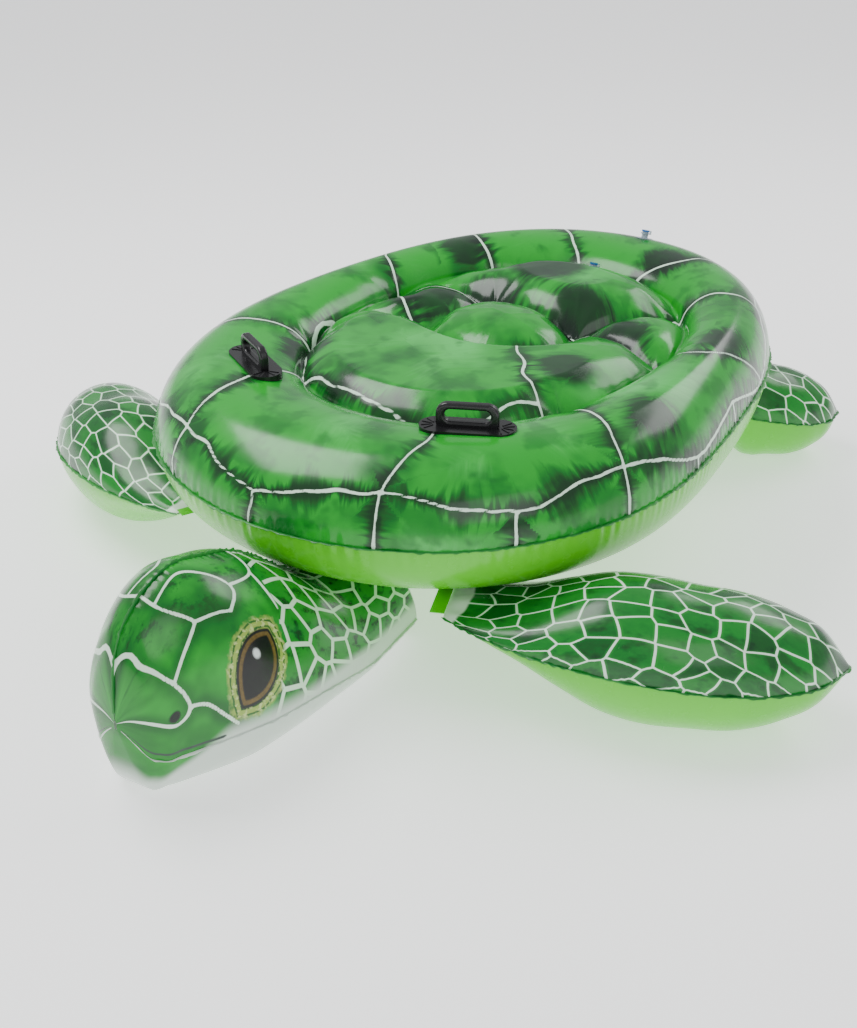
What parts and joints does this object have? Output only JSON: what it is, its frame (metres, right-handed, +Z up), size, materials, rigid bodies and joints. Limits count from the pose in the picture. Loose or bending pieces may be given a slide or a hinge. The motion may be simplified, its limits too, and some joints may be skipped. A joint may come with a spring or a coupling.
{
  "type": "ride-on turtle pool float",
  "caption": "Inflatable ride-on pool float shaped like a sea turtle: oval two-sheet hull with a quilted seat, leaf-shaped flippers, a head, moulded grab handles and air valves.",
  "frame": {"origin": "on the floor, under the middle of the whole float's bounding box", "axes": "+Z up; the head points to -Y and the tail to +Y, the longest extent; the turtle's left side is +X"},
  "size_m": [1.71, 1.7928, 0.4619],
  "materials": {
    "printed_vinyl": "semi-gloss soft film with a printed scute pattern",
    "green_vinyl": "semi-gloss soft film, plain light green",
    "white_vinyl": "semi-gloss soft film, plain white",
    "clear_vinyl": "clear soft film inside the hull",
    "black_pvc": "moulded, smooth and slightly glossy",
    "valve_clear": "soft clear moulding",
    "valve_blue": "soft translucent blue moulding"
  },
  "bodies": {
    "hull": {"hull_top_sheet": "printed_vinyl", "hull_bottom_sheet": "green_vinyl", "hull_weld_flange": "green_vinyl", "seat_ring_wall": "clear_vinyl", "seat_strip_front": "clear_vinyl", "seat_strip_rear": "clear_vinyl", "seat_strip_left": "clear_vinyl", "seat_strip_right": "clear_vinyl", "left_handle": "black_pvc", "right_handle": "black_pvc", "head_root_strip": "white_vinyl", "front_left_root_strip": "white_vinyl", "front_right_root_strip": "white_vinyl", "rear_left_root_strip": "white_vinyl", "rear_right_root_strip": "white_vinyl", "outer_valve_base": "valve_clear", "seat_valve_base": "valve_clear"},
    "head": {"head_left_cheek": "printed_vinyl", "head_right_cheek": "printed_vinyl", "head_throat_panel": "white_vinyl", "head_neck_panel": "white_vinyl"},
    "front_left_flipper": {"front_left_upper_panel": "printed_vinyl", "front_left_lower_panel": "green_vinyl"},
    "front_right_flipper": {"front_right_upper_panel": "printed_vinyl", "front_right_lower_panel": "green_vinyl"},
    "rear_left_flipper": {"rear_left_upper_panel": "printed_vinyl", "rear_left_lower_panel": "green_vinyl"},
    "rear_right_flipper": {"rear_right_upper_panel": "printed_vinyl", "rear_right_lower_panel": "green_vinyl"},
    "outer_stem": {"outer_valve_stem": "valve_clear", "outer_valve_strap": "valve_blue"},
    "outer_plug": {"outer_valve_plug": "valve_blue"},
    "outer_flap": {"outer_valve_flap": "valve_clear"},
    "seat_stem": {"seat_valve_stem": "valve_clear", "seat_valve_strap": "valve_blue"},
    "seat_plug": {"seat_valve_plug": "valve_blue"},
    "seat_flap": {"seat_valve_flap": "valve_clear"}
  },
  "joints": [
    {"name": "head_hinge", "type": "hinge", "parent": "hull", "child": "head", "pos_m": [0.00102, -0.29629, 0.1665], "axis": [0.9949, 0.1012, 0], "range_deg": [0, 30]},
    {"name": "front_left_flipper_hinge", "type": "hinge", "parent": "hull", "child": "front_left_flipper", "pos_m": [0.268, -0.3423, 0.16065], "axis": [-0.4092, 0.9124, 0], "range_deg": [0, 35]},
    {"name": "front_right_flipper_hinge", "type": "hinge", "parent": "hull", "child": "front_right_flipper", "pos_m": [-0.268, -0.3423, 0.16065], "axis": [-0.4092, -0.9124, 0], "range_deg": [0, 35]},
    {"name": "rear_left_flipper_hinge", "type": "hinge", "parent": "hull", "child": "rear_left_flipper", "pos_m": [0.095, 0.6197, 0.17996], "axis": [-0.6212, 0.7837, 0], "range_deg": [0, 35]},
    {"name": "rear_right_flipper_hinge", "type": "hinge", "parent": "hull", "child": "rear_right_flipper", "pos_m": [-0.095, 0.6197, 0.17996], "axis": [-0.6212, -0.7837, 0], "range_deg": [0, 35]},
    {"name": "outer_stem_slide", "type": "slide", "parent": "hull", "child": "outer_stem", "axis": [0, 0.2731, 0.962], "range_m": [-0.007, 0]},
    {"name": "outer_plug_slide", "type": "slide", "parent": "outer_stem", "child": "outer_plug", "axis": [0, 0.2731, 0.962], "range_m": [0, 0.012]},
    {"name": "outer_flap_hinge", "type": "hinge", "parent": "outer_stem", "child": "outer_flap", "pos_m": [0, 0.73414, 0.4124], "axis": [1, 0, 0], "range_deg": [0, 50], "stiffness_Nm_per_rad": 0.005},
    {"name": "seat_stem_slide", "type": "slide", "parent": "hull", "child": "seat_stem", "axis": [0, 0.2731, 0.962], "range_m": [-0.007, 0]},
    {"name": "seat_plug_slide", "type": "slide", "parent": "seat_stem", "child": "seat_plug", "axis": [0, 0.2731, 0.962], "range_m": [0, 0.012]},
    {"name": "seat_flap_hinge", "type": "hinge", "parent": "seat_stem", "child": "seat_flap", "pos_m": [-0.012, 0.54256, 0.38955], "axis": [1, 0, 0], "range_deg": [0, 50], "stiffness_Nm_per_rad": 0.005}
  ]
}
